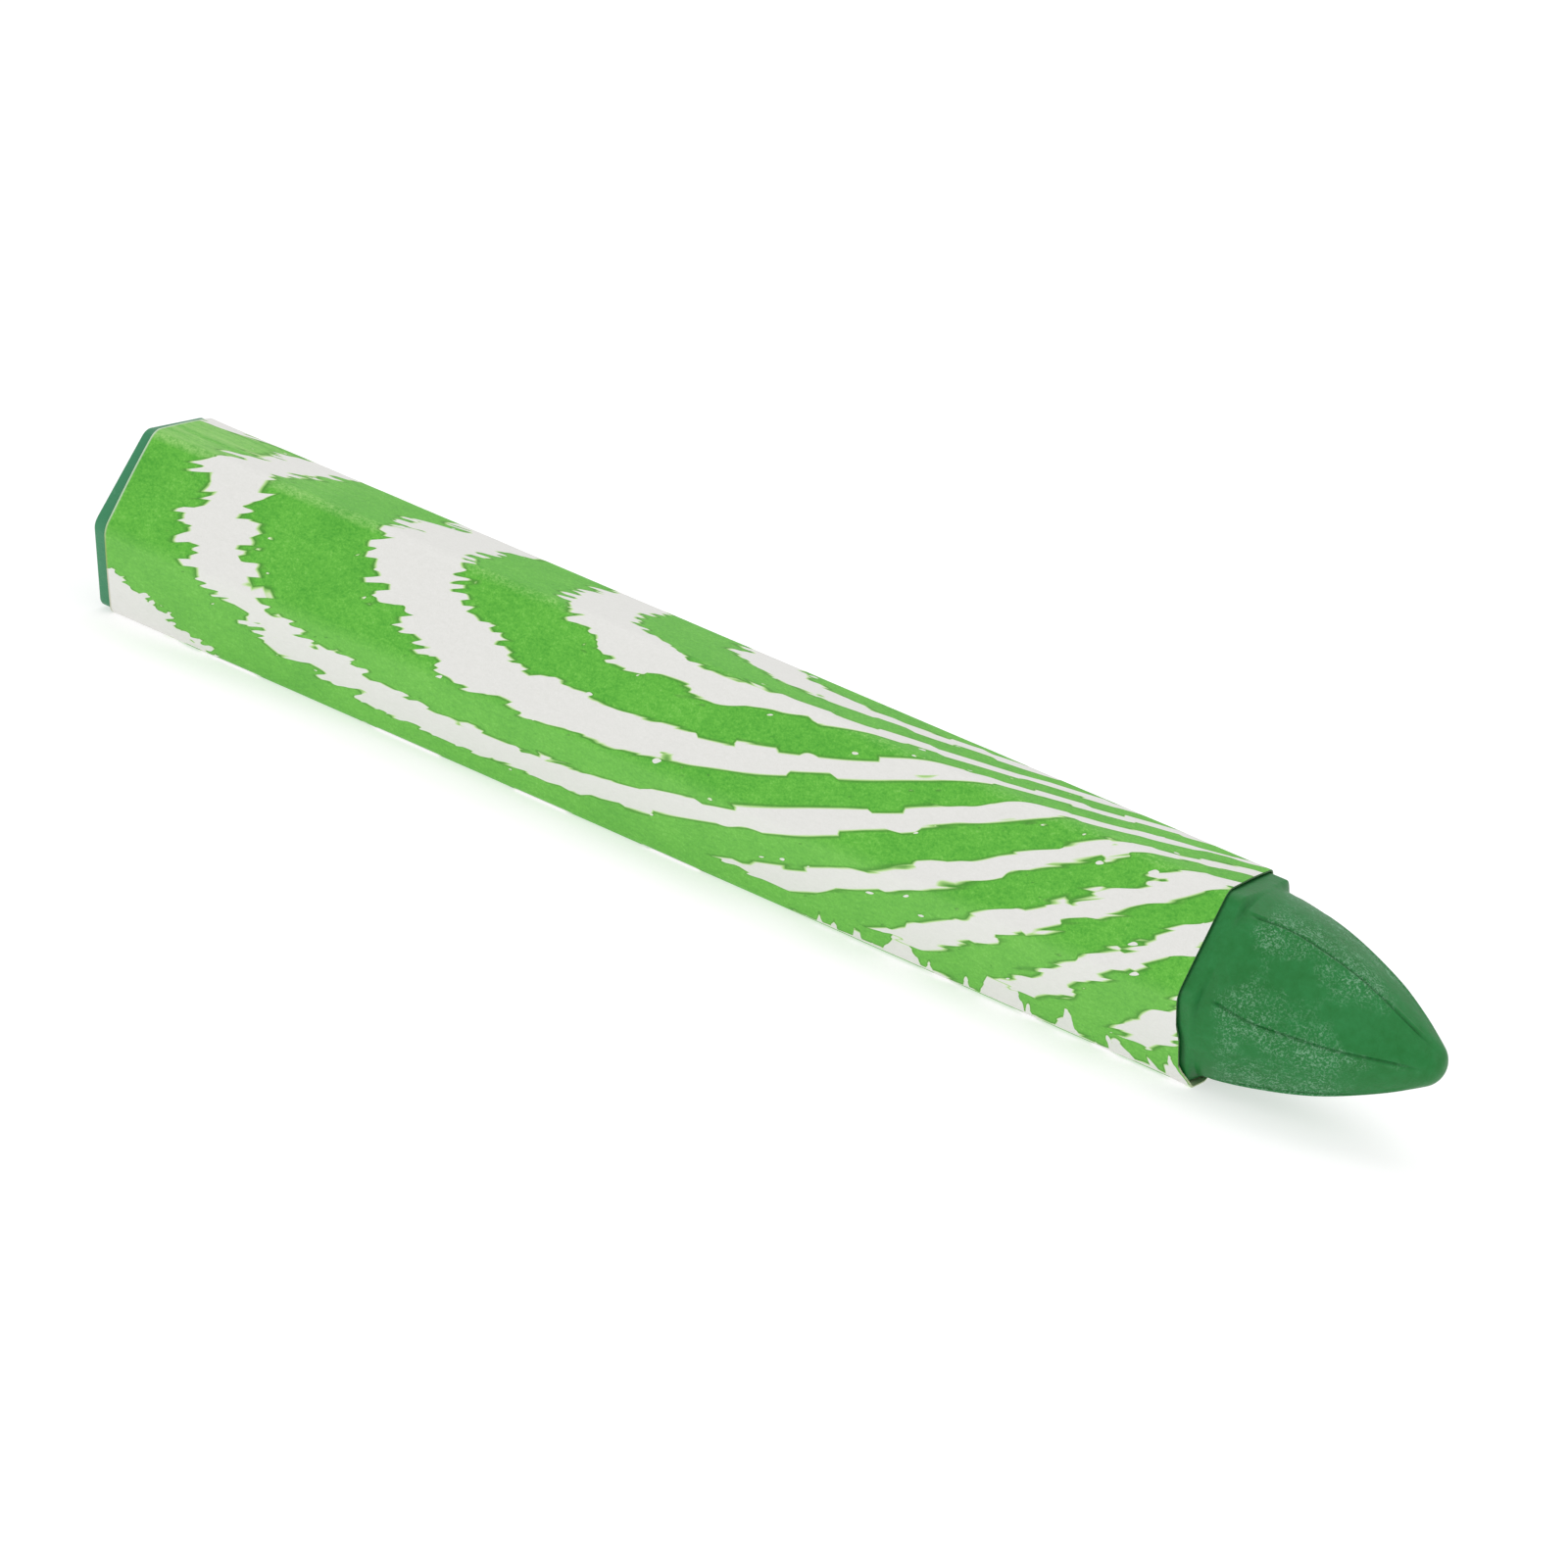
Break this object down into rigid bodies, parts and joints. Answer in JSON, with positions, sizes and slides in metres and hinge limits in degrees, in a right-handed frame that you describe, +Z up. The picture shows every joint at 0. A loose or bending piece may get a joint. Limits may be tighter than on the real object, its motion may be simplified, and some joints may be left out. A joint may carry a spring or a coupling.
{
  "type": "wax marking crayon",
  "caption": "Hexagonal wax marking crayon with a six-sided ogive tip, in a rolled and glued paper wrapper printed with a wood-grain pattern.",
  "frame": {"origin": "on the resting plane, under the crayon's axis, half way along its length", "axes": "+X along the crayon towards the drawing tip, +Z up from the facet that it lies on, +Y towards the side with the wrapper's glued seam"},
  "size_m": [0.12, 0.0182, 0.016],
  "materials": {
    "pigmented_wax": "cast wax, dark green, satin with a fine pale bloom",
    "printed_paper": "uncoated label paper, offset printed in leaf green and warm white",
    "dried_glue": "thin dried paste, matt"
  },
  "bodies": {
    "root": {"wax_stick": "pigmented_wax", "paper_wrapper": "printed_paper", "seam_glue": "dried_glue", "lead_edge_glue": "dried_glue"}
  },
  "joints": []
}
